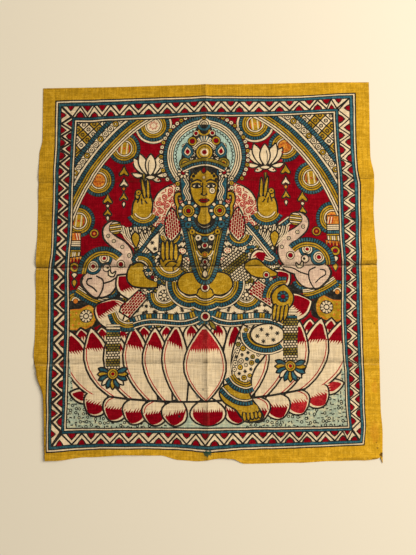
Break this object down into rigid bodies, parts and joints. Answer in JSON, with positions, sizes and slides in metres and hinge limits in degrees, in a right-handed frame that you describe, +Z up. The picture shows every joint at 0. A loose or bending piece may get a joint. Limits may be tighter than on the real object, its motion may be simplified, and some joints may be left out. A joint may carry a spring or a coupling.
{
  "type": "kalamkari cloth panel",
  "caption": "Flat hand-painted cotton cloth panel with pressed fold lines, a mustard margin, a zigzag border and a seated figure on a lotus.",
  "frame": {"origin": "middle of the cloth's bounding box, on the surface it lies on", "axes": "+Z up out of the painted face, +Y towards the top of the picture, +X to the right of the picture"},
  "size_m": [0.5101, 0.568, 0.0047],
  "materials": {
    "painted_cotton": "matte"
  },
  "bodies": {
    "root": {"kalamkari_cloth": "painted_cotton"}
  },
  "joints": []
}
